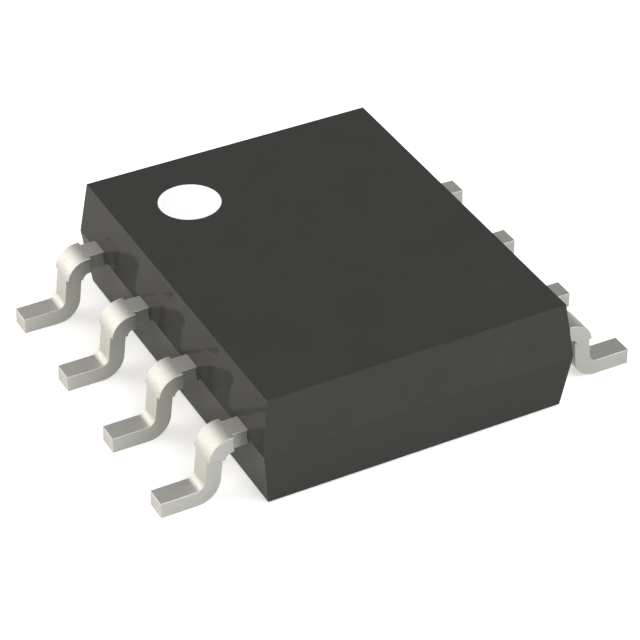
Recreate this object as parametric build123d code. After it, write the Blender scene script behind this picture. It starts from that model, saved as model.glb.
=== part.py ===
from build123d import *
from math import radians, tan
import os

# Two-channel digital isolator in a narrow eight-lead small-outline package, in millimetres.
# X runs across the package, from the input side at -X to the output side at +X. Y runs along it,
# with lead 1 at the +Y end of the input side. Z is up. The origin is the package's centre, on the
# plane that the soles of the feet stand on.

# Moulded body
body_length = 4.9  # along Y, at the parting line
body_width = 3.9  # along X, at the parting line
upper_height = 0.69  # parting line to top face
lower_height = 0.71  # parting line to underside
body_draft = 7.0  # degrees that every side leans in, away from the parting line
standoff = 0.03  # underside above the soles
ejector_diameter = 0.90  # two round marks that the mould's pins leave in the underside
ejector_depth = 0.02
ejector_inset = 1.30  # marks' centres from the parting line's ends

# Pin 1 mark, white ink in a dimple
mark_diameter = 0.75
mark_inset = 1.0  # mark's centre from the parting line's edges, at lead 1's corner
dimple_depth = 0.045
ink_floor = 0.015
ink_wall = 0.012

# Leads, outside the body
leads_per_side = 4
lead_pitch = 1.27
lead_span = 6.00  # over the toes of both sides
lead_thickness = 0.20
lead_width = 0.27
shoulder_width = 0.38  # wider stretch left by the cut dam bar, up to the end of the knee
knee_gap = 0.205  # parting line's edge to the start of the upper bend
shoulder_lead = 0.03  # shoulder starts this far before the upper bend
leg_lean = 6.2  # degrees from upright, feet outward
knee_radius = 0.085  # inside of the upper bend
heel_radius = 0.10  # inside of the lower bend

# Lead frame, inside the body
isolation_gap = 0.50  # between the two paddles
paddle_width = 0.90  # along X
paddle_corner = 0.06
paddle_downset = 0.20  # paddles below the fingers
frame_gap = 0.20  # finger tips to paddle
finger_width = 0.50
finger_neck = 0.13  # lead kept narrow for this far inside the parting line's edge
strap_width = 0.50  # downset strap from ground finger to paddle
strap_run = 0.205  # along Y, from the ground finger's edge down to the paddle's end
strap_bend = 0.03  # inside radius of the strap's two bends

# Dies and the adhesive under them
die_width = 0.70  # along X
die_length = 1.60  # along Y
die_thickness = 0.22
attach_thickness = 0.025
attach_margin = 0.03  # adhesive squeezed out round the die
pad_size = 0.08
pad_height = 0.004
pad_pitch = 0.40
pad_inset = 0.07  # pads' centres from the die's outer edge
plate_width = 0.17  # isolation capacitor's plate, across its flats
plate_pitch = 0.36
plate_inset = 0.12  # plates' centres from the die's inner edge

# Bond wires, drawn with flat sides because they are so fine
wire_diameter = 0.025
wire_sides = 8
ball_diameter = 0.065
ball_height = 0.018
stitch_length = 0.09
stitch_width = 0.05
stitch_height = 0.016
loop_height = 0.15  # wire's centre line above the pad it rises from
loop_radius = 0.06
bond_inset = 0.10  # stitch from the finger's tip
bond_offset = 0.12  # stitch from the lead's centre line, towards the die

# Heights and places that follow
parting_z = standoff + lower_height
top_z = parting_z + upper_height
edge_x = body_width / 2
finger_top_z = parting_z + lead_thickness / 2
paddle_x = (isolation_gap + paddle_width) / 2
paddle_z = parting_z - paddle_downset
paddle_top_z = paddle_z + lead_thickness / 2
die_z = paddle_top_z + attach_thickness
pad_top_z = die_z + die_thickness + pad_height
finger_tip_x = isolation_gap / 2 + paddle_width + frame_gap
last_lead_y = (leads_per_side - 1) / 2 * lead_pitch
paddle_length = 2 * (last_lead_y - finger_width / 2 - strap_run)
pad_x = paddle_x + die_width / 2 - pad_inset
plate_x = paddle_x - die_width / 2 + plate_inset
ground_leads = (leads_per_side, leads_per_side + 1)


def spread(count, pitch):
    """Places of a centred row, from the positive end down."""
    return [((count - 1) / 2 - index) * pitch for index in range(count)]


def strip(path, width):
    """Flat strip of lead frame metal that follows a path and lies level across it."""
    start = path @ 0
    along = path % 0
    across = along.cross(Vector(0, 0, 1))
    section = Plane(origin=start, x_dir=across, z_dir=along) * Rectangle(width, lead_thickness)
    return sweep(section, path)


def plate(points, height):
    """Flat piece of lead frame metal with an outline in X and Y, centred on a height."""
    outline = make_face(Polyline(*points, close=True))
    return Pos(0, 0, height) * extrude(outline, amount=lead_thickness / 2, both=True)


# Leads outside the body, formed on the +X side with the lead's centre line at Y = 0


def formed_lead():
    """Gull-wing lead from the body's edge to the toe, with its wider shoulder."""
    toe_x = lead_span / 2
    foot_z = lead_thickness / 2
    turn = 90 - leg_lean
    knee_mid = knee_radius + lead_thickness / 2
    heel_mid = heel_radius + lead_thickness / 2
    knee_x = edge_x + knee_gap
    knee_corner_x = knee_x + knee_mid * tan(radians(turn / 2))
    heel_corner_x = knee_corner_x + (parting_z - foot_z) * tan(radians(leg_lean))
    heel_x = heel_corner_x + heel_mid * tan(radians(turn / 2))

    knee = JernArc((knee_x, parting_z), (1, 0), knee_mid, -turn)
    heel = JernArc((heel_x, foot_z), (-1, 0), heel_mid, -turn)
    stub = Line((edge_x, parting_z), knee @ 0)
    leg = Line(knee @ 1, heel @ 1)
    foot = Line(heel @ 0, (toe_x, foot_z))
    shoulder_line = Line((knee_x - shoulder_lead, parting_z), knee @ 0)

    whole = Plane.XZ * Wire([stub, knee, leg, heel, foot])
    shoulder = Plane.XZ * Wire([shoulder_line, knee])
    return strip(whole, lead_width) + strip(shoulder, shoulder_width)


def bonding_finger(tip_x):
    """Inner end of a lead, from the body's edge to its tip, widened for the wire and the grip."""
    flare = (finger_width - lead_width) / 2
    neck_x = edge_x - finger_neck
    side = [
        (edge_x, lead_width / 2),
        (neck_x, lead_width / 2),
        (neck_x - flare, finger_width / 2),
        (tip_x, finger_width / 2),
    ]
    other_side = [(x, -y) for x, y in reversed(side)]
    return plate(side + other_side, parting_z)


def die_paddle(finger_y):
    """Paddle with the downset strap that joins it to the ground lead's finger at -Y."""
    outline = RectangleRounded(paddle_width, paddle_length, paddle_corner)
    paddle = Pos(paddle_x, 0, paddle_z) * extrude(outline, amount=lead_thickness / 2, both=True)
    strap = Plane.YZ * FilletPolyline(
        (finger_y, parting_z),
        (finger_y + finger_width / 2, parting_z),
        (-paddle_length / 2, paddle_z),
        (-paddle_length / 2 + strap_width, paddle_z),
        radius=strap_bend + lead_thickness / 2,
    )
    return paddle + Pos(paddle_x, 0, 0) * strip(strap, strap_width)


def lead_place(number):
    """Side of the package, -1 or 1, and the Y of a lead, counted anticlockwise from lead 1."""
    places = spread(leads_per_side, lead_pitch)
    if number <= leads_per_side:
        return -1, places[number - 1]
    return 1, -places[number - leads_per_side - 1]


def on_side(shape, side):
    """Shape that was built on the +X side, put on its own side."""
    return shape if side > 0 else mirror(shape, about=Plane.YZ)


def lead(number):
    """One stamped and formed lead. The ground leads have their side's paddle in one piece."""
    side, y = lead_place(number)
    if number in ground_leads:
        piece = formed_lead() + bonding_finger(paddle_x - strap_width / 2)
        return on_side(Pos(0, y, 0) * piece + die_paddle(y), side)
    return on_side(Pos(0, y, 0) * (formed_lead() + bonding_finger(finger_tip_x)), side)


# Dies and wires


def flat_sided(width):
    """Round outline with flat sides, of a width across the flats."""
    return RegularPolygon(width / 2, wire_sides, major_radius=False, rotation=180 / wire_sides)


def die_attach(side):
    """Layer of filled adhesive between a die and its paddle."""
    base = Pos(side * paddle_x, 0, paddle_top_z)
    outline = Rectangle(die_width + 2 * attach_margin, die_length + 2 * attach_margin)
    return base * extrude(outline, amount=attach_thickness)


def die(side):
    """Silicon die with bond pads towards its leads and capacitor plates towards the gap."""
    block = Pos(paddle_x, 0, die_z) * extrude(Rectangle(die_width, die_length), amount=die_thickness)
    face_z = die_z + die_thickness
    pads = [
        Pos(pad_x, y, face_z) * extrude(Rectangle(pad_size, pad_size), amount=pad_height)
        for y in spread(leads_per_side, pad_pitch)
    ]
    plates = [
        Pos(plate_x, y, face_z) * extrude(flat_sided(plate_width), amount=pad_height)
        for y in spread(leads_per_side, plate_pitch)
    ]
    return on_side(block + pads + plates, side)


def stitch_outline():
    """Fish tail that the bonding tool presses: as wide as the wire, then flared, then blunt."""
    side = [
        (-stitch_length / 2, wire_diameter / 2),
        (stitch_length / 4, stitch_width / 2),
        (stitch_length / 2, stitch_width / 4),
    ]
    return make_face(Polyline(*side, *[(x, -y) for x, y in reversed(side)], close=True))


def wire(ball_point, stitch_point):
    """Bond wire: a ball on its pad, a loop that rises upright and slopes down, and a stitch."""
    start = Vector(*ball_point)
    end = Vector(*stitch_point)
    span = Vector(end.X - start.X, end.Y - start.Y, 0)
    drop = end.Z - start.Z
    upright = Plane(origin=start, x_dir=span, z_dir=span.cross(Vector(0, 0, 1)))
    path = upright * FilletPolyline(
        (0, ball_height / 2),
        (0, loop_height),
        (span.length, drop + stitch_height),
        radius=loop_radius,
    )
    section = Plane(origin=path @ 0, x_dir=span, z_dir=path % 0) * flat_sided(wire_diameter)
    ball = Plane(origin=start, x_dir=span, z_dir=(0, 0, 1)) * flat_sided(ball_diameter)
    tail = Plane(origin=end, x_dir=span, z_dir=(0, 0, 1)) * stitch_outline()
    return extrude(ball, amount=ball_height) + sweep(section, path) + extrude(tail, amount=stitch_height)


def lead_wire(number):
    """Wire from a die's pad to the finger of one lead."""
    side, y = lead_place(number)
    row = spread(leads_per_side, lead_pitch).index(y)
    pad_y = spread(leads_per_side, pad_pitch)[row]
    towards_die = bond_offset if y > 0 else -bond_offset
    ball_point = (side * pad_x, pad_y, pad_top_z)
    stitch_point = (side * (finger_tip_x + bond_inset), y - towards_die, finger_top_z)
    return wire(ball_point, stitch_point)


def isolation_wire(y):
    """Wire across the isolation gap, from a plate of the input die to its twin."""
    return wire((-plate_x, y, pad_top_z), (plate_x, y, pad_top_z))


# Body and mark


def mark_place():
    """Top of the pin 1 mark's dimple."""
    return Pos(-edge_x + mark_inset, body_length / 2 - mark_inset, top_z)


def pin_one_mark():
    """White ink that lines the dimple, floor and wall."""
    outer = extrude(Circle(mark_diameter / 2), amount=-dimple_depth)
    hollow = extrude(Circle(mark_diameter / 2 - ink_wall), amount=-(dimple_depth - ink_floor))
    return mark_place() * (outer - hollow)


def moulded_body(embedded):
    """Epoxy body moulded round everything inside it, with its dimple and ejector pin marks."""
    outline = Pos(0, 0, parting_z) * Rectangle(body_width, body_length)
    upper = extrude(outline, amount=upper_height, taper=body_draft)
    lower = extrude(outline, amount=-lower_height, taper=body_draft)
    dimple = mark_place() * extrude(Circle(mark_diameter / 2), amount=-dimple_depth)
    ejector_y = body_length / 2 - ejector_inset
    ejector_marks = [
        Pos(0, y, standoff) * extrude(Circle(ejector_diameter / 2), amount=ejector_depth)
        for y in (ejector_y, -ejector_y)
    ]
    return upper + lower - dimple - ejector_marks - embedded


def build():
    """Every node of the isolator, by name."""
    numbers = range(1, 2 * leads_per_side + 1)
    plate_rows = spread(leads_per_side, plate_pitch)
    plate_names = [f"{channel}_{sign}" for channel in "abcdefgh" for sign in ("plus", "minus")]

    inside = {f"lead_{number}": lead(number) for number in numbers}
    for side, name in ((-1, "input"), (1, "output")):
        inside[f"{name}_die_attach"] = die_attach(side)
        inside[f"{name}_die"] = die(side)
    for number in numbers:
        inside[f"bond_wire_{number}"] = lead_wire(number)
    for name, y in zip(plate_names, plate_rows):
        inside[f"isolation_wire_{name}"] = isolation_wire(y)

    nodes = {"moulded_body": moulded_body(list(inside.values())), "pin_one_mark": pin_one_mark()}
    nodes.update(inside)
    return nodes


os.makedirs("parts", exist_ok=True)
for node, piece in build().items():
    export_step(piece, f"parts/{node}.step")
    print(node, len(piece.solids()), round(piece.volume, 5))
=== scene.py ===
"""Looks of a two-channel digital isolator in a narrow eight-lead small-outline package.

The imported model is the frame: X across the package, Y along it towards lead 1, Z up, the soles of
the feet at Z = 0. Lengths are in millimetres, and MM turns them to metres where Blender needs them.
"""

import logging
import math
from dataclasses import dataclass
from enum import Enum
from typing import Any, Iterable

import bmesh
import bpy
from mathutils import Matrix, Vector


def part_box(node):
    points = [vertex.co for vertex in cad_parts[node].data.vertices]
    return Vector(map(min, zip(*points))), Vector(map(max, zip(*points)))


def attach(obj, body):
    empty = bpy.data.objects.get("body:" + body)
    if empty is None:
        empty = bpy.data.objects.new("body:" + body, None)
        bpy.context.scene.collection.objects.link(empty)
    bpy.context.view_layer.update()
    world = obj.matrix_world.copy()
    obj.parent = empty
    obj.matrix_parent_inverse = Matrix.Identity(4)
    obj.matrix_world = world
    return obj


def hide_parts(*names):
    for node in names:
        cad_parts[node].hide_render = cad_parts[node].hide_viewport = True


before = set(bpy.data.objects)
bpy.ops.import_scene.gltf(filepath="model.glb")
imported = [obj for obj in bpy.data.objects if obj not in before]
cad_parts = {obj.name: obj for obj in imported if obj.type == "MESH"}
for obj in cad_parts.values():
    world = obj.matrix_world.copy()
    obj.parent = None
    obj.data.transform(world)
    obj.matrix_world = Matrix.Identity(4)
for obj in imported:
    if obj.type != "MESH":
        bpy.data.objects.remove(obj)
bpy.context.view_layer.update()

MM = 0.001
BODY = "root"
LEADS = 8
LOG = logging.getLogger("digital_isolator")

# Index of refraction of cured resin, and of the glass that seals a die.
RESIN_IOR = 1.5

# How far a die's pads stand out of it, in millimetres.
PAD_HEIGHT = 0.004

# How many finer layers lie over a noise.
SMOOTH = 1.0
PLAIN = 2.0
CRISP = 3.0

# A noise stays mostly between these values.
NOISE_LIMITS = (0.3, 0.7)

# A Mix node's sockets for colours go by number, because several have the same name.
SHARE = 0
FIRST = 6
SECOND = 7
MIXED = 2

Rgba = tuple[float, float, float, float]
Limits = tuple[float, float]
Section = tuple[float, float, float]
Station = tuple[Vector, float]
Tree = bpy.types.NodeTree
Socket = bpy.types.NodeSocket


def linear(hex_colour: str) -> Rgba:
    """Turns an sRGB colour to linear light, with the numbers of the sRGB standard.

    Args:
        hex_colour: the colour as "#rrggbb".

    Returns:
        Red, green, blue and an alpha of 1.
    """
    channels = [int(hex_colour[at : at + 2], 16) / 255 for at in (1, 3, 5)]
    red, green, blue = (c / 12.92 if c <= 0.04045 else ((c + 0.055) / 1.055) ** 2.4 for c in channels)
    return red, green, blue, 1.0


def per_metre(width: float) -> float:
    """Turns a pattern's real width in millimetres to the scale that draws it so."""
    return 1 / (width * MM)


def add(
    tree: Tree,
    kind: str,
    inputs: dict[Any, Any] | None = None,
    **settings: Any,
) -> bpy.types.Node:
    """Adds a node to a tree with its settings, values and links.

    Args:
        tree: the tree that gets the node.
        kind: the node's type.
        inputs: a value or an output socket for each input, by the input's name or number.
        **settings: the node's own properties.

    Returns:
        The new node.
    """
    node = tree.nodes.new(kind)
    for name, value in settings.items():
        setattr(node, name, value)
    for key, value in (inputs or {}).items():
        if isinstance(value, bpy.types.NodeSocket):
            tree.links.new(value, node.inputs[key])
        else:
            node.inputs[key].default_value = value
    return node


def tinted(tree: Tree, pattern: Socket, limits: Limits, first: str, second: str) -> Socket:
    """Draws a pattern in two colours that run into each other.

    Args:
        tree: the tree that gets the nodes.
        pattern: the pattern's value.
        limits: the values up to which the first colour is plain, and from which the second is.
        first: the colour of low values, as sRGB hex.
        second: the colour of high values, as sRGB hex.

    Returns:
        The colour's socket.
    """
    inputs = {"Value": pattern, "From Min": limits[0], "From Max": limits[1]}
    share = add(tree, "ShaderNodeMapRange", inputs, interpolation_type="SMOOTHSTEP").outputs["Result"]
    inputs = {SHARE: share, FIRST: linear(first), SECOND: linear(second)}
    return add(tree, "ShaderNodeMix", inputs, data_type="RGBA").outputs[MIXED]


def place_facing(
    thing: bpy.types.Object,
    target: Vector,
    azimuth: float,
    elevation: float,
    distance: float,
) -> None:
    """Puts a lamp or a camera round a point, turned to face it.

    Args:
        thing: the lamp or camera.
        target: the point, in millimetres.
        azimuth: degrees anticlockwise from +X, seen from above.
        elevation: degrees above the floor.
        distance: from the point, in millimetres.
    """
    turn, rise = math.radians(azimuth), math.radians(elevation)
    outward = Vector((math.cos(rise) * math.cos(turn), math.cos(rise) * math.sin(turn), math.sin(rise)))
    thing.location = (target + outward * distance) * MM
    thing.rotation_euler = (-outward).to_track_quat("-Z", "Y").to_euler()
    bpy.context.scene.collection.objects.link(thing)


class Side(Enum):
    """The package's two rows of leads, each with the sign of its X."""

    INPUT = -1
    OUTPUT = 1


@dataclass(frozen=True)
class Finish:
    """A real material and how its surface was made.

    Attributes:
        name: the material's name.
        colour: its colour, as sRGB hex.
        roughness: its mean roughness.
    """

    name: str
    colour: str
    roughness: float

    def start(self, **sockets: Any) -> tuple[bpy.types.Material, Tree, bpy.types.Node]:
        """Makes the material with a plain shader in its base colour.

        Args:
            **sockets: values for the shader's sockets.

        Returns:
            The material, its tree and the shader.
        """
        material = bpy.data.materials.new(self.name)
        material.use_nodes = True
        tree = material.node_tree
        tree.nodes.clear()
        inputs = {"Base Color": linear(self.colour), "Roughness": self.roughness, **sockets}
        shader = add(tree, "ShaderNodeBsdfPrincipled", inputs)
        add(tree, "ShaderNodeOutputMaterial", {"Surface": shader.outputs["BSDF"]})
        return material, tree, shader


@dataclass(frozen=True)
class MouldedEpoxy(Finish):
    """Silica-filled black epoxy, transfer-moulded in a polished cavity.

    Attributes:
        ior: its index of refraction, matched to the photograph and lower than a real epoxy's.
        filler_colour: the tint of the compound where the filler lies close under its skin.
        filler_grain: width of the filler's grains in millimetres.
        cloud_width: width of the clouds that the flow left in the filler, in millimetres.
        cloud_limits: values of grain times cloud between which the filler's tint comes up.
        lower_painted_shade: painted shade, a darker colour for the lower half below the parting line.
        lower_shade_share: how much of that painted shade lies over the grain.
        parting_height: of the line where the halves meet, in millimetres.
        gloss: the roughness where the grain is low and where it is high, as shares of the mean.
        skin_depth: depth of the skin's unevenness in millimetres.
    """

    ior: float = 1.15
    filler_colour: str = "#3e3e3d"
    filler_grain: float = 0.03
    cloud_width: float = 0.6
    cloud_limits: Limits = (0.12, 0.42)
    lower_painted_shade: str = "#373736"
    lower_shade_share: float = 0.6
    parting_height: float = 0.74
    gloss: tuple[float, float] = (0.7, 1.3)
    skin_depth: float = 0.00003

    def material(self) -> bpy.types.Material:
        """Near black with a faint grain, painted shade on its lower half and a glossy skin that mirrors
        the leads beside it.

        Returns:
            The material.
        """
        material, tree, shader = self.start(IOR=self.ior)
        place = add(tree, "ShaderNodeTexCoord").outputs["Object"]
        inputs = {"Vector": place, "Scale": per_metre(self.filler_grain), "Detail": CRISP}
        grain = add(tree, "ShaderNodeTexNoise", inputs).outputs["Fac"]
        inputs = {"Vector": place, "Scale": per_metre(self.cloud_width), "Detail": PLAIN}
        clouds = add(tree, "ShaderNodeTexNoise", inputs).outputs["Fac"]
        filler = add(tree, "ShaderNodeMath", {0: grain, 1: clouds}, operation="MULTIPLY").outputs[0]
        colour = tinted(tree, filler, self.cloud_limits, self.colour, self.filler_colour)

        # Painted shade: below the parting line the compound is drawn in a darker colour, for the lower
        # faces' weaker light.
        height = add(tree, "ShaderNodeSeparateXYZ", {0: place}).outputs["Z"]
        inputs = {0: height, 1: self.parting_height * MM}
        below = add(tree, "ShaderNodeMath", inputs, operation="LESS_THAN").outputs[0]
        inputs = {0: below, 1: self.lower_shade_share}
        share = add(tree, "ShaderNodeMath", inputs, operation="MULTIPLY").outputs[0]
        inputs = {SHARE: share, FIRST: colour, SECOND: linear(self.lower_painted_shade)}
        colour = add(tree, "ShaderNodeMix", inputs, data_type="RGBA").outputs[MIXED]
        tree.links.new(colour, shader.inputs["Base Color"])

        inputs = {
            "Value": grain,
            "From Min": NOISE_LIMITS[0],
            "From Max": NOISE_LIMITS[1],
            "To Min": self.gloss[0] * self.roughness,
            "To Max": self.gloss[1] * self.roughness,
        }
        gloss = add(tree, "ShaderNodeMapRange", inputs, interpolation_type="SMOOTHSTEP").outputs["Result"]
        tree.links.new(gloss, shader.inputs["Roughness"])
        skin = add(tree, "ShaderNodeBump", {"Height": grain, "Distance": self.skin_depth * MM})
        tree.links.new(skin.outputs["Normal"], shader.inputs["Normal"])
        return material


@dataclass(frozen=True)
class MattTinPlate(Finish):
    """Matt tin, electroplated on stamped copper alloy after moulding, then formed.

    Attributes:
        metal: how much of the light the bare metal mirrors. The rest meets the dull skin of oxide.
        shade: the colour in the hollows between the tin's grains.
        tin_grain: width of the grains in millimetres, coarser than the real 0.005 so that they show.
        grain_depth: depth of the grains' relief in millimetres.
        drag_width: spacing of the faint lines that the forming tool drags along the strip.
        drag_squeeze: the lines' pattern along the strip, as a share of what it is across.
        drag_depth: depth of the dragged lines in millimetres.
        gloss_limits: the grain's values between which the roughness changes.
        gloss: the roughness where the grain is low and where it is high, as shares of the mean.
        sheared_painted_shade: colour of the sheared sides, darker and cooler than the rolled faces as
            painted shade.
        sheared_roughness: roughness of those sides.
        sheared_relief: how much of the relief shows on them.
        burnished_colour: the colour of the rounded edges, which the forming tool rubs bright.
        burnished_roughness: roughness of those edges.
    """

    metal: float = 0.85
    shade: str = "#c6c5c0"
    tin_grain: float = 0.016
    grain_depth: float = 0.0012
    drag_width: float = 0.022
    drag_squeeze: float = 0.06
    drag_depth: float = 0.0004
    gloss_limits: Limits = (0.25, 0.75)
    gloss: tuple[float, float] = (1.1, 0.9)
    sheared_painted_shade: str = "#b6b7b3"
    sheared_roughness: float = 0.3
    sheared_relief: float = 0.25
    burnished_colour: str = "#c5c5c2"
    burnished_roughness: float = 0.42

    def material(self) -> bpy.types.Material:
        """Satin grey-white metal, speckled by its grains, with faint lines, bright edges and painted
        shade on its sheared sides.

        Returns:
            The material. It reads the attributes strip_place, sheared and burnished.
        """
        material, tree, shader = self.start(Metallic=self.metal)
        place = add(tree, "ShaderNodeTexCoord").outputs["Object"]
        inputs = {"Vector": place, "Scale": per_metre(self.tin_grain), "Detail": CRISP}
        grain = add(tree, "ShaderNodeTexNoise", inputs).outputs["Fac"]
        strip = add(tree, "ShaderNodeAttribute", attribute_name="strip_place").outputs["Vector"]
        inputs = {0: strip, 1: (self.drag_squeeze, 1.0, 1.0)}
        squeezed = add(tree, "ShaderNodeVectorMath", inputs, operation="MULTIPLY").outputs[0]
        inputs = {"Vector": squeezed, "Scale": per_metre(self.drag_width), "Detail": PLAIN}
        drag = add(tree, "ShaderNodeTexNoise", inputs).outputs["Fac"]
        sheared = add(tree, "ShaderNodeAttribute", attribute_name="sheared").outputs["Fac"]
        edge = add(tree, "ShaderNodeAttribute", attribute_name="burnished").outputs["Fac"]

        colour = tinted(tree, grain, NOISE_LIMITS, self.shade, self.colour)
        inputs = {
            "Value": grain,
            "From Min": self.gloss_limits[0],
            "From Max": self.gloss_limits[1],
            "To Min": self.gloss[0] * self.roughness,
            "To Max": self.gloss[1] * self.roughness,
        }
        gloss = add(tree, "ShaderNodeMapRange", inputs, interpolation_type="SMOOTHSTEP").outputs["Result"]
        # The sheared sides are smoother and drawn in a darker, cooler colour, which is painted shade; the
        # rubbed edges get their own colour and roughness.
        for mark, tint, roughness in (
            (sheared, self.sheared_painted_shade, self.sheared_roughness),
            (edge, self.burnished_colour, self.burnished_roughness),
        ):
            inputs = {SHARE: mark, FIRST: colour, SECOND: linear(tint)}
            colour = add(tree, "ShaderNodeMix", inputs, data_type="RGBA").outputs[MIXED]
            inputs = {"Value": mark, "To Min": gloss, "To Max": roughness}
            gloss = add(tree, "ShaderNodeMapRange", inputs).outputs["Result"]
        tree.links.new(colour, shader.inputs["Base Color"])
        tree.links.new(gloss, shader.inputs["Roughness"])

        inputs = {0: grain, 1: self.grain_depth}
        grains = add(tree, "ShaderNodeMath", inputs, operation="MULTIPLY").outputs[0]
        inputs = {0: drag, 1: self.drag_depth, 2: grains}
        relief = add(tree, "ShaderNodeMath", inputs, operation="MULTIPLY_ADD").outputs[0]
        inputs = {"Value": sheared, "To Min": 1.0, "To Max": self.sheared_relief}
        shown = add(tree, "ShaderNodeMapRange", inputs).outputs["Result"]
        relief = add(tree, "ShaderNodeMath", {0: relief, 1: shown}, operation="MULTIPLY").outputs[0]
        skin = add(tree, "ShaderNodeBump", {"Height": relief, "Distance": MM})
        tree.links.new(skin.outputs["Normal"], shader.inputs["Normal"])
        return material


@dataclass(frozen=True)
class MarkingInk(Finish):
    """White marking ink, pad-printed into the dimple and cured.

    Attributes:
        thin_colour: the tint where the ink lies thinner.
        pool_width: width of the patches that the wet ink left, in millimetres.
        pool_limits: the patches' values between which the tint changes.
        pool_depth: their unevenness in millimetres.
    """

    thin_colour: str = "#fdfdfd"
    pool_width: float = 0.09
    pool_limits: Limits = (0.35, 0.65)
    pool_depth: float = 0.0008

    def material(self) -> bpy.types.Material:
        """Flat white with a barely uneven skin.

        Returns:
            The material.
        """
        material, tree, shader = self.start(IOR=RESIN_IOR)
        place = add(tree, "ShaderNodeTexCoord").outputs["Object"]
        inputs = {"Vector": place, "Scale": per_metre(self.pool_width), "Detail": CRISP}
        pools = add(tree, "ShaderNodeTexNoise", inputs).outputs["Fac"]
        colour = tinted(tree, pools, self.pool_limits, self.thin_colour, self.colour)
        tree.links.new(colour, shader.inputs["Base Color"])
        skin = add(tree, "ShaderNodeBump", {"Height": pools, "Distance": self.pool_depth * MM})
        tree.links.new(skin.outputs["Normal"], shader.inputs["Normal"])
        return material


@dataclass(frozen=True)
class PolishedSilicon(Finish):
    """Silicon die with a passivated top that carries aluminium pads and capacitor plates.

    Attributes:
        pad_floor: height in millimetres above which only pads and plates stand.
        pad_colour: the colour of the pads and plates.
        film_colour: the tint that the passivation film gives in patches.
        block_width: width of the circuit's blocks in millimetres.
        block_limits: distances from a block's middle between which the tint comes up, as shares
            of the width.
    """

    pad_floor: float
    pad_colour: str = "#d8d6d0"
    film_colour: str = "#5b5370"
    block_width: float = 0.12
    block_limits: Limits = (0.2, 0.5)

    def material(self) -> bpy.types.Material:
        """Dark mirror with violet blocks of circuit and pale metal pads.

        Returns:
            The material.
        """
        material, tree, shader = self.start(IOR=RESIN_IOR)
        place = add(tree, "ShaderNodeTexCoord").outputs["Object"]
        inputs = {"Vector": place, "Scale": per_metre(self.block_width)}
        blocks = add(tree, "ShaderNodeTexVoronoi", inputs, distance="CHEBYCHEV").outputs["Distance"]
        surface = tinted(tree, blocks, self.block_limits, self.colour, self.film_colour)
        height = add(tree, "ShaderNodeSeparateXYZ", {0: place}).outputs["Z"]
        inputs = {0: height, 1: self.pad_floor * MM}
        pad = add(tree, "ShaderNodeMath", inputs, operation="GREATER_THAN").outputs[0]
        inputs = {SHARE: pad, FIRST: surface, SECOND: linear(self.pad_colour)}
        colour = add(tree, "ShaderNodeMix", inputs, data_type="RGBA").outputs[MIXED]
        tree.links.new(colour, shader.inputs["Base Color"])
        tree.links.new(pad, shader.inputs["Metallic"])
        return material


@dataclass(frozen=True)
class SilverFilledAdhesive(Finish):
    """Epoxy adhesive filled with silver flakes, squeezed out under a die and cured.

    Attributes:
        flake_colour: the colour of the flakes.
        flake_width: width of the flakes in millimetres.
        flake_limits: the pattern's values between which the resin gives way to a flake.
        flake_metal: how metallic a flake looks through the resin.
    """

    flake_colour: str = "#cfcfca"
    flake_width: float = 0.012
    flake_limits: Limits = (0.5, 0.62)
    flake_metal: float = 0.6

    def material(self) -> bpy.types.Material:
        """Dull grey with bright flakes.

        Returns:
            The material.
        """
        material, tree, shader = self.start(IOR=RESIN_IOR)
        place = add(tree, "ShaderNodeTexCoord").outputs["Object"]
        inputs = {"Vector": place, "Scale": per_metre(self.flake_width), "Detail": PLAIN}
        flakes = add(tree, "ShaderNodeTexNoise", inputs).outputs["Fac"]
        colour = tinted(tree, flakes, self.flake_limits, self.colour, self.flake_colour)
        tree.links.new(colour, shader.inputs["Base Color"])
        inputs = {
            "Value": flakes,
            "From Min": self.flake_limits[0],
            "From Max": self.flake_limits[1],
            "To Max": self.flake_metal,
        }
        metal = add(tree, "ShaderNodeMapRange", inputs, interpolation_type="SMOOTHSTEP").outputs["Result"]
        tree.links.new(metal, shader.inputs["Metallic"])
        return material


@dataclass(frozen=True)
class DrawnGoldWire(Finish):
    """Gold bonding wire, drawn through a die and annealed.

    Attributes:
        draw_width: spacing of the drawing lines in millimetres.
        draw_depth: depth of the drawing lines in millimetres.
        gloss: the roughness between the lines and on them, as shares of the mean.
    """

    draw_width: float = 0.004
    draw_depth: float = 0.0001
    gloss: tuple[float, float] = (0.7, 1.4)

    def material(self) -> bpy.types.Material:
        """Bright yellow metal with hair-fine lines.

        Returns:
            The material.
        """
        material, tree, shader = self.start(Metallic=1.0)
        place = add(tree, "ShaderNodeTexCoord").outputs["Object"]
        inputs = {"Vector": place, "Scale": per_metre(self.draw_width), "Detail": SMOOTH}
        lines = add(tree, "ShaderNodeTexNoise", inputs).outputs["Fac"]
        inputs = {
            "Value": lines,
            "From Min": NOISE_LIMITS[0],
            "From Max": NOISE_LIMITS[1],
            "To Min": self.gloss[0] * self.roughness,
            "To Max": self.gloss[1] * self.roughness,
        }
        gloss = add(tree, "ShaderNodeMapRange", inputs, interpolation_type="SMOOTHSTEP").outputs["Result"]
        tree.links.new(gloss, shader.inputs["Roughness"])
        skin = add(tree, "ShaderNodeBump", {"Height": lines, "Distance": self.draw_depth * MM})
        tree.links.new(skin.outputs["Normal"], shader.inputs["Normal"])
        return material


def dress(nodes: Iterable[str], material: bpy.types.Material) -> None:
    """Gives CAD nodes a material through their slots.

    Args:
        nodes: the nodes' names.
        material: the material that each gets.
    """
    for name in nodes:
        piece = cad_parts[name]
        for slot in piece.material_slots:
            slot.material = material
        LOG.info("dressed %s in %s", name, material.name)


@dataclass(frozen=True)
class MouldedBody:
    """Epoxy body and the ink of its pin 1 mark.

    Attributes:
        compound: the body's finish.
        ink: the mark's finish.
    """

    compound: MouldedEpoxy
    ink: MarkingInk

    def build(self) -> None:
        """Dresses the body and the mark."""
        dress(["moulded_body"], self.compound.material())
        dress(["pin_one_mark"], self.ink.material())


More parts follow.
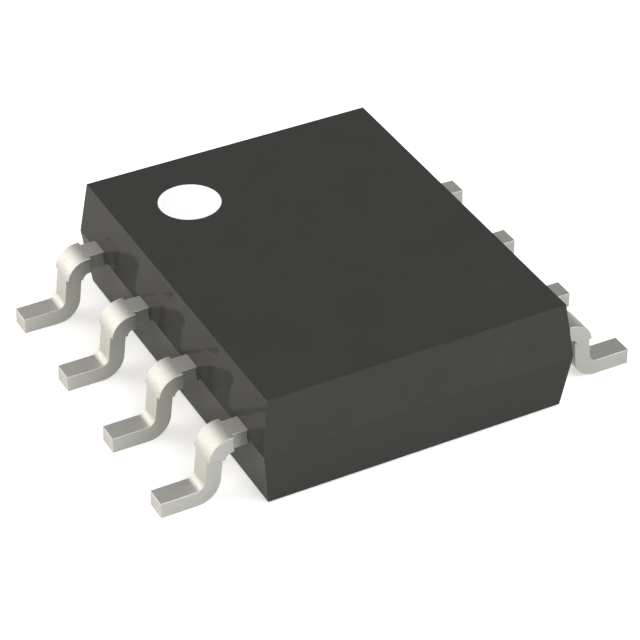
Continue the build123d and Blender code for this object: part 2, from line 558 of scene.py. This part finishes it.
@dataclass(frozen=True)
class SealedParts:
    """Dies, their adhesive and the wires, all sealed in the body.

    Attributes:
        silicon: the dies' finish.
        adhesive: the finish of the layer under each die.
        gold: the wires' finish.
    """

    silicon: PolishedSilicon
    adhesive: SilverFilledAdhesive
    gold: DrawnGoldWire

    def build(self) -> None:
        """Dresses every sealed piece."""
        dress(["input_die", "output_die"], self.silicon.material())
        dress(["input_die_attach", "output_die_attach"], self.adhesive.material())
        wires = [name for name in sorted(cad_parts) if "_wire_" in name]
        dress(wires, self.gold.material())


@dataclass(frozen=True)
class LeadFrame:
    """Eight leads stamped from one sheet, each swept along its bent centre line.

    The ground leads carry a die paddle each, on a strap that steps down to it.

    Attributes:
        tin: the leads' finish.
        ground_leads: the numbers of the leads that carry a paddle.
        thickness: of the sheet.
        width: of a lead outside the body.
        shoulder_width: of the stretch left by the cut dam bar.
        shoulder_lead: how far before the upper bend the shoulder starts.
        knee_gap: from the body's edge to the start of the upper bend.
        knee_radius: inside of the upper bend.
        heel_radius: inside of the lower bend.
        leg_lean: degrees from upright, foot outward.
        finger_width: of the lead's inner end.
        finger_neck: how far inside the body's edge the lead stays narrow.
        finger_tip: X of the fingers' tips.
        ground_tip: X of the ground fingers' tips.
        hair: between the two stations where the width steps, so that the sweep keeps its direction.
        bend_steps: how many stretches make each bend.
        paddle_x: X of a paddle's centre.
        paddle_size: of a paddle, along X and Y.
        paddle_corner: a paddle's corner radius.
        paddle_downset: of the paddles below the fingers.
        corner_steps: how many stretches make each corner of a paddle.
        strap_width: of the strap between finger and paddle.
        strap_bend: inside radius of the strap's bends.
        strap_steps: how many stretches make each of them.
        edge_radius: rounding that plating leaves on every stamped edge.
        edge_steps: how many faces make each rounding.
        edge_turn: least angle between the two faces at a stamped edge, in radians.
        rounding_turn: least angle between two faces of a rounded edge, in radians.
        rubbed_from: Z of the normal of a rounded face where the tool starts to rub it.
        rubbed_fully: the same where it is rubbed bright.
        side_normal: least Y of the normal of a sheared side.
    """

    tin: MattTinPlate
    ground_leads: tuple[int, int] = (4, 5)
    thickness: float = 0.20
    width: float = 0.27
    shoulder_width: float = 0.38
    shoulder_lead: float = 0.03
    knee_gap: float = 0.205
    knee_radius: float = 0.085
    heel_radius: float = 0.10
    leg_lean: float = 6.2
    finger_width: float = 0.50
    finger_neck: float = 0.13
    finger_tip: float = 1.35
    ground_tip: float = 0.45
    hair: float = 0.0002
    bend_steps: int = 24
    paddle_x: float = 0.70
    paddle_size: tuple[float, float] = (0.90, 2.90)
    paddle_corner: float = 0.06
    paddle_downset: float = 0.20
    corner_steps: int = 6
    strap_width: float = 0.50
    strap_bend: float = 0.03
    strap_steps: int = 6
    edge_radius: float = 0.008
    edge_steps: int = 3
    edge_turn: float = math.radians(40)
    rounding_turn: float = math.radians(22)
    rubbed_from: float = 0.15
    rubbed_fully: float = 0.5
    side_normal: float = 0.8

    def lead_sections(self, tip_x: float, toe_x: float, top_z: float) -> list[Section]:
        """Walks along a lead's centre line on the +X side.

        Args:
            tip_x: X of the finger's tip.
            toe_x: X of the toe.
            top_z: height of the stub's top.

        Returns:
            X, Z and half the width at each station.
        """
        edge_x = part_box("moulded_body")[1].x / MM
        stub_z = top_z - self.thickness / 2
        foot_z = self.thickness / 2
        turn = math.radians(90 - self.leg_lean)
        knee_mid = self.knee_radius + self.thickness / 2
        heel_mid = self.heel_radius + self.thickness / 2
        knee_x = edge_x + self.knee_gap
        knee_corner_x = knee_x + knee_mid * math.tan(turn / 2)
        heel_corner_x = knee_corner_x + (stub_z - foot_z) / math.tan(turn)
        heel_x = heel_corner_x + heel_mid * math.tan(turn / 2)
        narrow, wide, finger = self.width / 2, self.shoulder_width / 2, self.finger_width / 2
        neck_x = edge_x - self.finger_neck
        shoulder_x = knee_x - self.shoulder_lead

        sections = [
            (tip_x, stub_z, finger),
            (neck_x - (finger - narrow), stub_z, finger),
            (neck_x, stub_z, narrow),
            (shoulder_x - self.hair, stub_z, narrow),
            (shoulder_x, stub_z, wide),
        ]
        for step in range(self.bend_steps + 1):
            angle = turn * step / self.bend_steps
            x = knee_x + knee_mid * math.sin(angle)
            sections.append((x, stub_z - knee_mid * (1 - math.cos(angle)), wide))
        end_x, end_z, _ = sections[-1]
        sections.append((end_x + self.hair * math.cos(turn), end_z - self.hair * math.sin(turn), narrow))
        for step in range(self.bend_steps + 1):
            angle = turn * (1 - step / self.bend_steps)
            x = heel_x - heel_mid * math.sin(angle)
            sections.append((x, foot_z + heel_mid * (1 - math.cos(angle)), narrow))
        return sections + [(toe_x, foot_z, narrow)]

    def strap_sections(self, finger_y: float, top_z: float) -> list[Section]:
        """Walks down the strap from the ground finger to its paddle.

        Args:
            finger_y: Y of the ground finger's centre line.
            top_z: height of the finger's top.

        Returns:
            Y, Z and half the width at each station.
        """
        start_z = top_z - self.thickness / 2
        end_z = start_z - self.paddle_downset
        first_y = finger_y + self.finger_width / 2
        last_y = -self.paddle_size[1] / 2
        slope = math.atan2(start_z - end_z, last_y - first_y)
        radius = self.strap_bend + self.thickness / 2
        reach = radius * math.tan(slope / 2)
        half = self.strap_width / 2
        angles = [slope * step / self.strap_steps for step in range(self.strap_steps + 1)]
        sections = [(finger_y, start_z, half)]
        for angle in angles:
            y = first_y - reach + radius * math.sin(angle)
            sections.append((y, start_z - radius * (1 - math.cos(angle)), half))
        for angle in reversed(angles):
            y = last_y + reach - radius * math.sin(angle)
            sections.append((y, end_z + radius * (1 - math.cos(angle)), half))
        return sections + [(last_y + self.strap_width, end_z, half)]

    def strip_tree(self) -> Tree:
        """Builds the tree that sweeps the sheet's section along a line of stations.

        Returns:
            A tree with the inputs Thickness and Material. Each station's attribute half_width
            widens the strip there, and strip_place keeps where on the strip a point lies.
        """
        tree = bpy.data.node_groups.new("stamped_strip", "GeometryNodeTree")
        tree.is_modifier = True
        for name, way, kind in (
            ("Geometry", "INPUT", "NodeSocketGeometry"),
            ("Thickness", "INPUT", "NodeSocketFloat"),
            ("Material", "INPUT", "NodeSocketMaterial"),
            ("Geometry", "OUTPUT", "NodeSocketGeometry"),
        ):
            tree.interface.new_socket(name, in_out=way, socket_type=kind)
        given = add(tree, "NodeGroupInput").outputs

        # The line of stations, with its sideways direction and its length so far kept on it.
        line = add(tree, "GeometryNodeMeshToCurve", {"Mesh": given["Geometry"]})
        line = add(tree, "GeometryNodeSetCurveNormal", {"Curve": line.outputs[0]}, mode="Z_UP")
        across = add(tree, "GeometryNodeInputNormal").outputs[0]
        inputs = {"Geometry": line.outputs[0], "Name": "across", "Value": across}
        line = add(tree, "GeometryNodeStoreNamedAttribute", inputs, data_type="FLOAT_VECTOR")
        along = add(tree, "GeometryNodeSplineParameter").outputs["Length"]
        inputs = {"Geometry": line.outputs[0], "Name": "along", "Value": along}
        line = add(tree, "GeometryNodeStoreNamedAttribute", inputs, data_type="FLOAT")

        # The sheet's section, swept as wide as it is thick.
        inputs = {"Width": self.thickness, "Height": given["Thickness"]}
        section = add(tree, "GeometryNodeCurvePrimitiveQuadrilateral", inputs)
        place = add(tree, "GeometryNodeInputPosition").outputs[0]
        inputs = {"Geometry": section.outputs[0], "Name": "in_section", "Value": place}
        section = add(tree, "GeometryNodeStoreNamedAttribute", inputs, data_type="FLOAT_VECTOR")
        inputs = {"Curve": line.outputs[0], "Profile Curve": section.outputs[0], "Fill Caps": True}
        swept = add(tree, "GeometryNodeCurveToMesh", inputs)

        # Each side moves out to half the width that its station gives.
        kinds = {
            "across": "FLOAT_VECTOR",
            "along": "FLOAT",
            "in_section": "FLOAT_VECTOR",
            "half_width": "FLOAT",
        }
        stored = {}
        for name, kind in kinds.items():
            reader = add(tree, "GeometryNodeInputNamedAttribute", {"Name": name}, data_type=kind)
            stored[name] = reader.outputs[0]
        parts = add(tree, "ShaderNodeSeparateXYZ", {0: stored["in_section"]}).outputs
        side = add(tree, "ShaderNodeMath", {0: parts["X"]}, operation="SIGN").outputs[0]
        inputs = {0: side, 1: stored["half_width"]}
        spread = add(tree, "ShaderNodeMath", inputs, operation="MULTIPLY").outputs[0]
        inputs = {0: spread, 1: parts["X"]}
        shift = add(tree, "ShaderNodeMath", inputs, operation="SUBTRACT").outputs[0]
        inputs = {0: stored["across"], "Scale": shift}
        offset = add(tree, "ShaderNodeVectorMath", inputs, operation="SCALE").outputs[0]
        widened = add(tree, "GeometryNodeSetPosition", {"Geometry": swept.outputs[0], "Offset": offset})

        # The tin's dragged lines read where on the strip a point lies, in metres.
        strip = add(tree, "ShaderNodeCombineXYZ", {0: stored["along"], 1: spread, 2: parts["Y"]})
        inputs = {0: strip.outputs[0], "Scale": MM}
        strip = add(tree, "ShaderNodeVectorMath", inputs, operation="SCALE")
        inputs = {"Geometry": widened.outputs[0], "Name": "strip_place", "Value": strip.outputs[0]}
        kept = add(tree, "GeometryNodeStoreNamedAttribute", inputs, data_type="FLOAT_VECTOR")
        for name in kinds:
            inputs = {"Geometry": kept.outputs[0], "Name": name}
            kept = add(tree, "GeometryNodeRemoveAttribute", inputs)

        realised = add(tree, "GeometryNodeRealizeInstances", {"Geometry": kept.outputs[0]})
        inputs = {"Geometry": realised.outputs[0], "Material": given["Material"]}
        finished = add(tree, "GeometryNodeSetMaterial", inputs)
        add(tree, "NodeGroupOutput", {"Geometry": finished.outputs[0]})
        return tree

    def strip(
        self,
        name: str,
        stations: list[Station],
        tree: Tree,
        tin: bpy.types.Material,
    ) -> bpy.types.Object:
        """Sweeps one strip of sheet metal, still in millimetres, with its modifier live.

        Args:
            name: the strip's name.
            stations: each one's place, and half the strip's width there.
            tree: the tree from strip_tree.
            tin: the leads' material.

        Returns:
            The strip's object.
        """
        line = bpy.data.meshes.new(name)
        links = [(at, at + 1) for at in range(len(stations) - 1)]
        line.from_pydata([place for place, _ in stations], links, [])
        widths = line.attributes.new("half_width", "FLOAT", "POINT")
        widths.data.foreach_set("value", [half for _, half in stations])
        piece = bpy.data.objects.new(name, line)
        bpy.context.scene.collection.objects.link(piece)
        sweep = piece.modifiers.new("Sweep", "NODES")
        sweep.node_group = tree
        sockets = [item for item in tree.interface.items_tree if item.in_out == "INPUT"]
        identifiers = {socket.name: socket.identifier for socket in sockets}
        sweep[identifiers["Thickness"]] = self.thickness
        sweep[identifiers["Material"]] = tin
        return piece

    def paddle(self, name: str, side: Side, top_z: float, tin: bpy.types.Material) -> bpy.types.Object:
        """Makes a die paddle, a plate with rounded corners, in millimetres.

        Args:
            name: the plate's name.
            side: the row of leads that it belongs to.
            top_z: height of the fingers' top.
            tin: the leads' material.

        Returns:
            The plate's object.
        """
        middle_z = top_z - self.thickness / 2 - self.paddle_downset
        inner_x = self.paddle_size[0] / 2 - self.paddle_corner
        inner_y = self.paddle_size[1] / 2 - self.paddle_corner
        outline = []
        for corner, (sign_x, sign_y) in enumerate(((1, 1), (-1, 1), (-1, -1), (1, -1))):
            for step in range(self.corner_steps + 1):
                angle = math.radians(90 * corner + 90 * step / self.corner_steps)
                x = sign_x * inner_x + self.paddle_corner * math.cos(angle)
                y = sign_y * inner_y + self.paddle_corner * math.sin(angle)
                outline.append((side.value * self.paddle_x + x, y))
        count = len(outline)
        low, high = middle_z - self.thickness / 2, middle_z + self.thickness / 2
        points = [(x, y, z) for z in (low, high) for x, y in outline]
        faces = [list(reversed(range(count))), list(range(count, 2 * count))]
        faces += [[at, (at + 1) % count, count + (at + 1) % count, count + at] for at in range(count)]
        mesh = bpy.data.meshes.new(name)
        mesh.from_pydata(points, [], faces)
        mesh.materials.append(tin)
        plate = bpy.data.objects.new(name, mesh)
        bpy.context.scene.collection.objects.link(plate)
        return plate

    def mark_surfaces(self, mesh: bpy.types.Mesh) -> None:
        """Marks how each face was made, with the attributes burnished and sheared.

        The forming tool rubs the upper rounded edges bright, and the stamping die shears the sides, which
        also carry painted shade.

        Args:
            mesh: a lead's mesh. Each rounded edge turns its right angle in three narrow faces, so
                those meet at about 30 degrees, and all other faces that meet smoothly at less
                than 20. The attribute rounding_turn lies between the two.
        """
        shape = bmesh.new()
        shape.from_mesh(mesh)
        burnished, sheared = [], []
        for face in shape.faces:
            rounded = any(edge.calc_face_angle(0.0) > self.rounding_turn for edge in face.edges)
            upward = (face.normal.z - self.rubbed_from) / (self.rubbed_fully - self.rubbed_from)
            burnished.append(min(max(upward, 0.0), 1.0) if rounded else 0.0)
            sheared.append(1.0 if abs(face.normal.y) > self.side_normal else 0.0)
        shape.free()
        for name, values in (("burnished", burnished), ("sheared", sheared)):
            mesh.attributes.new(name, "FLOAT", "FACE").data.foreach_set("value", values)

    def finish(self, piece: bpy.types.Object, joined: list[bpy.types.Object]) -> None:
        """Fuses a lead's stretches, rounds its edges and turns it to a plain mesh in metres.

        Args:
            piece: the lead's strip, in millimetres.
            joined: what is fused to it, which is then deleted.
        """
        for other in joined:
            union = piece.modifiers.new("Fuse", "BOOLEAN")
            union.operation = "UNION"
            union.solver = "MANIFOLD"
            union.object = other
        bevel = piece.modifiers.new("Edges", "BEVEL")
        bevel.width = self.edge_radius
        bevel.segments = self.edge_steps
        bevel.limit_method = "ANGLE"
        bevel.angle_limit = self.edge_turn
        bevel.use_clamp_overlap = False
        weighted = piece.modifiers.new("Shading", "WEIGHTED_NORMAL")
        weighted.keep_sharp = True
        bpy.context.view_layer.update()
        evaluated = piece.evaluated_get(bpy.context.evaluated_depsgraph_get())
        mesh = bpy.data.meshes.new_from_object(evaluated)
        self.mark_surfaces(mesh)
        mesh.transform(Matrix.Scale(MM, 4))
        mesh.shade_smooth()
        piece.modifiers.clear()
        piece.data = mesh
        for other in joined:
            bpy.data.objects.remove(other)

    def lead(self, number: int, tree: Tree, tin: bpy.types.Material) -> None:
        """Makes one lead in place of its node.

        Args:
            number: the lead's number.
            tree: the tree from strip_tree.
            tin: the leads' material.
        """
        node = f"lead_{number}"
        side = Side.INPUT if number <= LEADS // 2 else Side.OUTPUT
        low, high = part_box(node)
        lead_y = low.y / MM + self.finger_width / 2
        top_z = high.z / MM
        toe_x = max(abs(low.x), abs(high.x)) / MM
        grounded = number in self.ground_leads
        tip_x = self.ground_tip if grounded else self.finger_tip
        stations = [
            (Vector((side.value * x, lead_y, z)), half)
            for x, z, half in self.lead_sections(tip_x, toe_x, top_z)
        ]
        piece = self.strip(f"formed_{node}", stations, tree, tin)
        joined = []
        if grounded:
            stations = [
                (Vector((side.value * self.paddle_x, y, z)), half)
                for y, z, half in self.strap_sections(lead_y, top_z)
            ]
            joined = [
                self.strip(f"strap_{number}", stations, tree, tin),
                self.paddle(f"paddle_{number}", side, top_z, tin),
            ]
        self.finish(piece, joined)
        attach(piece, BODY)
        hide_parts(node)
        LOG.info("%s: %d faces", piece.name, len(piece.data.polygons))

    def build(self) -> None:
        """Makes the eight leads."""
        tree = self.strip_tree()
        tin = self.tin.material()
        for number in range(1, LEADS + 1):
            self.lead(number, tree, tin)


@dataclass(frozen=True)
class SoftLamp:
    """A square softbox that faces the object.

    Attributes:
        name: the lamp's name.
        azimuth: degrees anticlockwise from +X, seen from above.
        elevation: degrees above the floor.
        radiance: its brightness, where 1 is white.
        colour: its colour, as sRGB hex.
        distance: from the object in millimetres.
        size: of its side in millimetres.
    """

    name: str
    azimuth: float
    elevation: float
    radiance: float
    colour: str
    distance: float = 120.0
    size: float = 110.0

    def build(self) -> None:
        """Places the lamp."""
        light = bpy.data.lights.new(self.name, "AREA")
        light.shape = "SQUARE"
        light.size = self.size * MM
        light.energy = self.radiance * math.pi * (self.size * MM) ** 2
        light.color = linear(self.colour)[:3]
        lamp = bpy.data.objects.new(self.name, light)
        place_facing(lamp, Vector(), self.azimuth, self.elevation, self.distance)
        LOG.info("lamp %s", self.name)


@dataclass(frozen=True)
class Surroundings:
    """White cyclorama round the object, and the floor that it runs into.

    Attributes:
        white: the colour of what isn't tinted.
        near_colour: the colour of the light from the side at -X.
        near_side: brightness of the cyclorama at -X, where 1 is white.
        far_side: brightness at +X.
        across_limits: X of the directions between which the one gives way to the other.
        overhead: brightness above the cyclorama.
        upward_limits: sine of the elevations between which the cyclorama gives way to it.
        paper: the floor's colour.
        paper_white: how much the camera sees beyond what the paper scatters, so that it is white.
        paper_mirrored: how much reflections see beyond it.
        floor_size: of the floor's side in millimetres.
        weave: width of the paper's fibres in millimetres.
    """

    white: str = "#ffffff"
    near_colour: str = "#fff8e4"
    near_side: float = 1.86
    far_side: float = 0.34
    across_limits: Limits = (-0.2, 0.7)
    overhead: float = 0.17
    upward_limits: Limits = (0.2, 0.42)
    paper: str = "#f2efe9"
    paper_white: float = 0.46
    paper_mirrored: float = 0.14
    floor_size: float = 800.0
    weave: float = 0.8

    def sky(self) -> None:
        """Sets the world: a bright wall at -X, a dimmer one at +X and grey above, white to the camera."""
        world = bpy.data.worlds.new("cyclorama")
        world.use_nodes = True
        tree = world.node_tree
        tree.nodes.clear()
        direction = add(tree, "ShaderNodeTexCoord").outputs["Generated"]
        along = add(tree, "ShaderNodeSeparateXYZ", {0: direction}).outputs
        strength = self.near_side
        for axis, limits, beyond in (
            ("X", self.across_limits, self.far_side),
            ("Z", self.upward_limits, self.overhead),
        ):
            inputs = {
                "Value": along[axis],
                "From Min": limits[0],
                "From Max": limits[1],
                "To Min": strength,
                "To Max": beyond,
            }
            eased = add(tree, "ShaderNodeMapRange", inputs, interpolation_type="SMOOTHSTEP")
            strength = eased.outputs["Result"]
        colour = tinted(tree, along["X"], self.across_limits, self.near_colour, self.white)
        light = add(tree, "ShaderNodeBackground", {"Color": colour, "Strength": strength}).outputs[0]
        inputs = {"Color": linear(self.white), "Strength": 1.0}
        backdrop = add(tree, "ShaderNodeBackground", inputs).outputs[0]
        seen = add(tree, "ShaderNodeLightPath").outputs["Is Camera Ray"]
        surface = add(tree, "ShaderNodeMixShader", {0: seen, 1: light, 2: backdrop}).outputs[0]
        add(tree, "ShaderNodeOutputWorld", {"Surface": surface})
        bpy.context.scene.world = world

    def floor(self) -> None:
        """Lays the white paper that the object stands on."""
        half = self.floor_size / 2 * MM
        mesh = bpy.data.meshes.new("paper_floor")
        corners = [(-half, -half, 0), (half, -half, 0), (half, half, 0), (-half, half, 0)]
        mesh.from_pydata(corners, [], [(0, 1, 2, 3)])
        material = bpy.data.materials.new("white_paper")
        material.use_nodes = True
        tree = material.node_tree
        tree.nodes.clear()
        place = add(tree, "ShaderNodeTexCoord").outputs["Object"]
        inputs = {"Vector": place, "Scale": per_metre(self.weave), "Detail": PLAIN}
        fibres = add(tree, "ShaderNodeTexNoise", inputs).outputs["Fac"]
        inputs = {SHARE: fibres, FIRST: linear(self.paper), SECOND: linear(self.white)}
        colour = add(tree, "ShaderNodeMix", inputs, data_type="RGBA").outputs[MIXED]
        paper = add(tree, "ShaderNodeBsdfDiffuse", {"Color": colour}).outputs[0]

        path = add(tree, "ShaderNodeLightPath").outputs
        inputs = {0: path["Is Glossy Ray"], 1: path["Is Transmission Ray"]}
        mirrored = add(tree, "ShaderNodeMath", inputs, operation="MAXIMUM").outputs[0]
        inputs = {0: mirrored, 1: self.paper_mirrored}
        mirrored = add(tree, "ShaderNodeMath", inputs, operation="MULTIPLY").outputs[0]
        inputs = {0: path["Is Camera Ray"], 1: self.paper_white, 2: mirrored}
        strength = add(tree, "ShaderNodeMath", inputs, operation="MULTIPLY_ADD").outputs[0]
        inputs = {"Color": linear(self.white), "Strength": strength}
        glow = add(tree, "ShaderNodeEmission", inputs).outputs[0]
        surface = add(tree, "ShaderNodeAddShader", {0: paper, 1: glow}).outputs[0]
        add(tree, "ShaderNodeOutputMaterial", {"Surface": surface})

        mesh.materials.append(material)
        floor = bpy.data.objects.new("paper_floor", mesh)
        bpy.context.scene.collection.objects.link(floor)

    def build(self) -> None:
        """Sets the world and lays the floor."""
        self.sky()
        self.floor()
        LOG.info("surroundings set")


@dataclass(frozen=True)
class Camera:
    """The photograph's view, solved from the package's standard sizes.

    Attributes:
        azimuth: degrees anticlockwise from +X, seen from above, of where it stands.
        elevation: degrees above the floor.
        distance: from the point it looks at, in millimetres.
        target: that point, in millimetres.
        focal_length: in millimetres.
        sensor: its width in millimetres.
        nearest: distance from which it sees anything, in millimetres.
        farthest: distance up to which it does, in millimetres.
    """

    azimuth: float = -117.78
    elevation: float = 36.14
    distance: float = 30.18
    target: tuple[float, float, float] = (-0.225, -0.461, 0.70)
    focal_length: float = 147.67
    sensor: float = 36.0
    nearest: float = 1.0
    farthest: float = 10000.0

    def build(self) -> None:
        """Places the camera and makes it the scene's."""
        camera = bpy.data.cameras.new("camera")
        camera.lens = self.focal_length
        camera.sensor_width = self.sensor
        camera.clip_start = self.nearest * MM
        camera.clip_end = self.farthest * MM
        viewer = bpy.data.objects.new("camera", camera)
        place_facing(viewer, Vector(self.target), self.azimuth, self.elevation, self.distance)
        bpy.context.scene.camera = viewer
        LOG.info("camera placed")


def main() -> None:
    logging.basicConfig(level=logging.INFO, format="%(name)s: %(message)s")
    bpy.context.scene.view_settings.view_transform = "Standard"
    pad_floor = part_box("input_die")[1].z / MM - PAD_HEIGHT / 2
    pieces = (
        MouldedBody(
            MouldedEpoxy("moulded_epoxy", "#3b3b3a", roughness=0.045),
            MarkingInk("white_marking_ink", "#ffffff", roughness=0.6),
        ),
        LeadFrame(MattTinPlate("matt_tin_plate", "#d3d2ce", roughness=0.5)),
        SealedParts(
            PolishedSilicon("polished_silicon", "#3a3d46", roughness=0.12, pad_floor=pad_floor),
            SilverFilledAdhesive("silver_filled_adhesive", "#a3a29d", roughness=0.5),
            DrawnGoldWire("drawn_gold_wire", "#e8c06a", roughness=0.2),
        ),
        Surroundings(),
        SoftLamp("low_key", azimuth=128, elevation=16, radiance=0.95, colour="#fcfdff"),
        SoftLamp("high_key", azimuth=136, elevation=50, radiance=1.38, colour="#fcfcfd"),
        SoftLamp("low_fill", azimuth=262, elevation=24, radiance=0.85, colour="#fafbff"),
        SoftLamp("high_fill", azimuth=304, elevation=47, radiance=3.0, colour="#fafbff"),
        Camera(),
    )
    for piece in pieces:
        piece.build()


if __name__ == "__main__":
    main()
